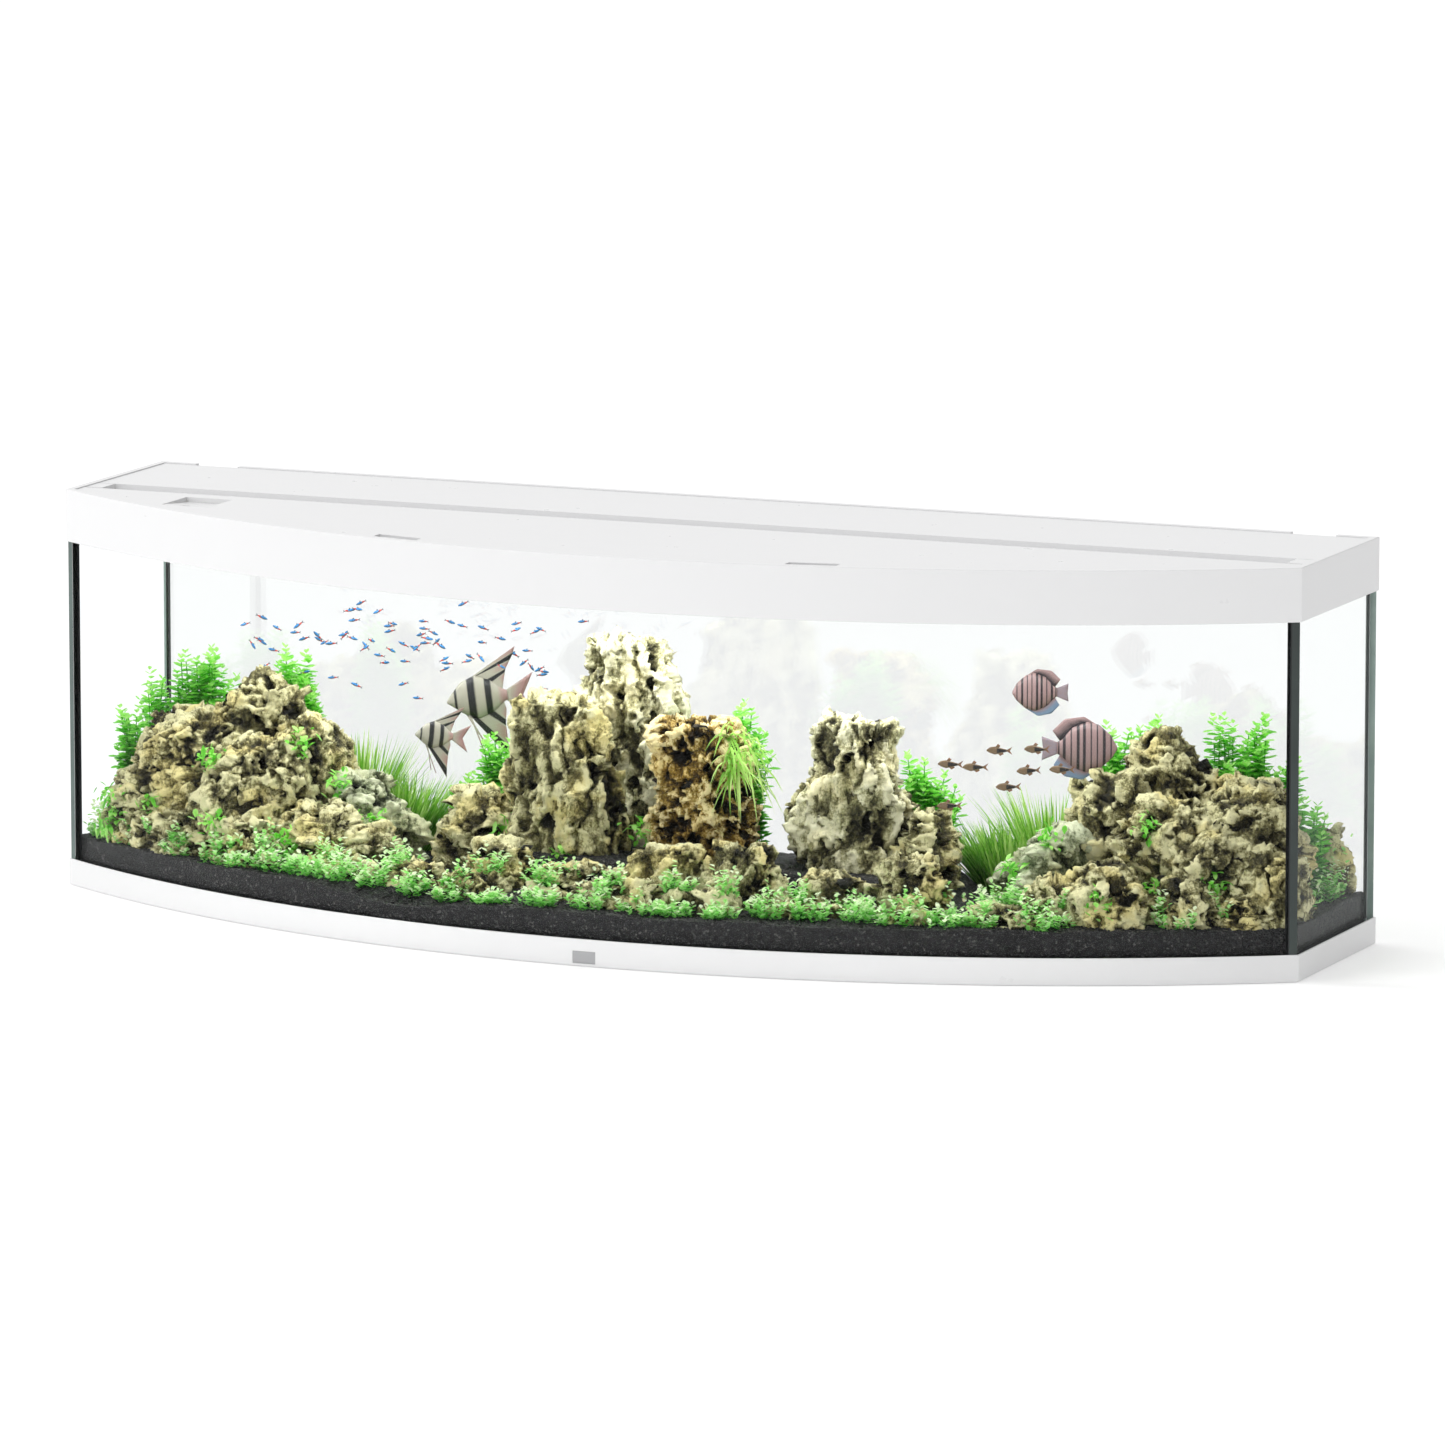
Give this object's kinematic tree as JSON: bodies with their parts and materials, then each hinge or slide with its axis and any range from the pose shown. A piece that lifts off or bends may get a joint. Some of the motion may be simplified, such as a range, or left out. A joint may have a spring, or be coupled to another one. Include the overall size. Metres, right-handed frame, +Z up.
{
  "type": "glass aquarium tank",
  "caption": "Bow-front glass aquarium with trimmed base, lift-off hood with hinged lids, feeding flap, lights, and a planted rock landscape on gravel.",
  "frame": {"origin": "on the floor, under the middle of the overall box", "axes": "+X along the width, to the right seen from the front; -Y towards the bowed front; +Z up"},
  "size_m": [2, 0.63, 0.61],
  "materials": {
    "trim_white": "gloss white moulded plastic",
    "glass_clear": "clear float glass with teal edges",
    "silicone_black": "smooth black silicone",
    "board_grey": "matte grey base panel",
    "foam_grey": "soft closed-cell foam",
    "plate_silver": "satin blank badge",
    "steel_bright": "bright steel pins, screws and clips",
    "rubber_dark": "soft dark rubber",
    "light_aluminium": "satin extruded aluminium",
    "light_board": "printed light board",
    "light_opal": "opal diffuser",
    "gravel_black": "black fine gravel",
    "rock_khaki": "pitted dragon stone",
    "rock_orange": "orange brown pitted stone",
    "leaf_green": "leafy water plants",
    "grass_green": "grass and carpet plants"
  },
  "bodies": {
    "tank": {"base_front_rail": "trim_white", "base_left_rail": "trim_white", "base_right_rail": "trim_white", "base_rear_rail": "trim_white", "base_panel": "board_grey", "foam_mat": "foam_grey", "badge_plate": "plate_silver", "bottom_glass": "glass_clear", "front_glass": "glass_clear", "rear_glass": "glass_clear", "left_glass": "glass_clear", "right_glass": "glass_clear", "silicone_seams": "silicone_black", "floor_bead": "silicone_black", "front_brace": "glass_clear", "rear_brace": "glass_clear", "cross_braces": "glass_clear", "gravel_bed": "gravel_black", "rock_left_apex": "rock_khaki", "rock_left_round": "rock_khaki", "rock_left_overhang": "rock_khaki", "rock_left_flank": "rock_khaki", "left_mound_stones": "rock_khaki", "rock_right_apex": "rock_khaki", "rock_right_round": "rock_khaki", "rock_right_overhang": "rock_khaki", "rock_right_flank": "rock_khaki", "right_mound_stones": "rock_khaki", "rock_centre_tall": "rock_khaki", "rock_centre_pillar": "rock_khaki", "rock_centre_orange": "rock_orange", "rock_centre_crag": "rock_khaki", "rock_centre_low": "rock_khaki", "terrace_stones": "rock_khaki", "leafy_plants": "leaf_green", "grass_and_carpet": "grass_green"},
    "hood": {"hood_front_apron": "trim_white", "hood_left_rail": "trim_white", "hood_right_rail": "trim_white", "hood_rear_rail": "trim_white", "hood_corner_blocks": "trim_white", "hood_screws": "steel_bright", "hinge_rail": "trim_white", "hinge_saddles": "trim_white", "hinge_end_blocks": "trim_white", "hinge_pins": "steel_bright", "finger_cups": "trim_white", "lid_bumpers": "rubber_dark", "cable_grommets": "rubber_dark", "light_straps": "trim_white", "light_clips": "steel_bright", "light_housings": "light_aluminium", "light_boards": "light_board", "light_diffusers": "light_opal", "light_end_caps": "rubber_dark"},
    "front_lid_body": {"front_lid": "trim_white", "hatch_pin": "steel_bright", "hatch_spring": "steel_bright"},
    "feeding_flap_body": {"feeding_flap": "trim_white"},
    "rear_cover_body": {"rear_cover": "trim_white"}
  },
  "joints": [
    {"name": "hood_lift", "type": "slide", "parent": "tank", "child": "hood", "axis": [0, 0, 1], "range_m": [0, 0.09]},
    {"name": "front_lid_hinge", "type": "hinge", "parent": "hood", "child": "front_lid_body", "pos_m": [0, 0.022, 0.6054], "axis": [-1, 0, 0], "range_deg": [0, 80]},
    {"name": "rear_cover_hinge", "type": "hinge", "parent": "hood", "child": "rear_cover_body", "pos_m": [0, 0.2985, 0.6054], "axis": [-1, 0, 0], "range_deg": [0, 80]},
    {"name": "feeding_flap_hinge", "type": "hinge", "parent": "front_lid_body", "child": "feeding_flap_body", "pos_m": [-0.76, -0.088, 0.6055], "axis": [-1, 0, 0], "range_deg": [0, 35], "stiffness_Nm_per_rad": 0.05, "springref_deg": -34.38}
  ]
}
